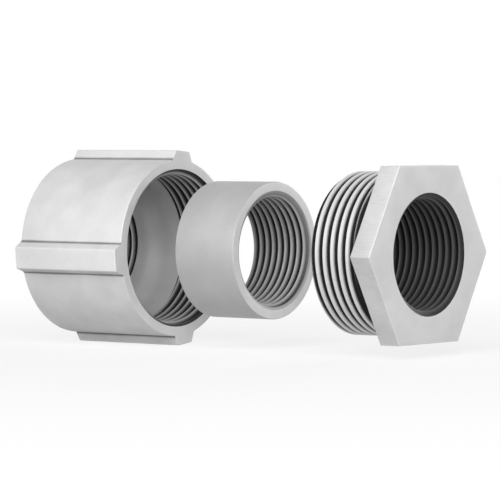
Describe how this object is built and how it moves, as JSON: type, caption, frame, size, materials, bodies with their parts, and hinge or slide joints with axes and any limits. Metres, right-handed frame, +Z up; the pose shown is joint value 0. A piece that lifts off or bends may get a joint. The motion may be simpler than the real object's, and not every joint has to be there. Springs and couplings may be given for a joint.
{
  "type": "conduit coupling",
  "caption": "Threaded three-part conduit coupling: ribbed body, threaded sleeve and hexagon gland nut on one axis, joining two fixed conduits that cannot be turned.",
  "frame": {"origin": "on the axis, at the inner end of the body's conduit thread, where the sleeve seats", "axes": "+X along the axis from the body to the gland nut, +Z up, two of the nut's flats facing up and down"},
  "size_m": [0.1253, 0.0559, 0.056],
  "materials": {
    "zinc_casting": "zinc plated malleable iron casting, satin",
    "zinc_machined": "zinc plated steel, turned, satin",
    "zinc_nut": "zinc plated steel, turned and milled, satin"
  },
  "bodies": {
    "body": {"coupling_body": "zinc_casting"},
    "sleeve": {"sleeve": "zinc_machined"},
    "nut": {"gland_nut": "zinc_nut"}
  },
  "joints": [
    {"name": "sleeve_slide", "type": "slide", "parent": "body", "child": "sleeve", "axis": [-1, 0, 0], "range_m": [0, 0.04265]},
    {"name": "nut_slide", "type": "slide", "parent": "sleeve", "child": "nut", "axis": [-1, 0, 0], "range_m": [0, 0.02855]}
  ]
}
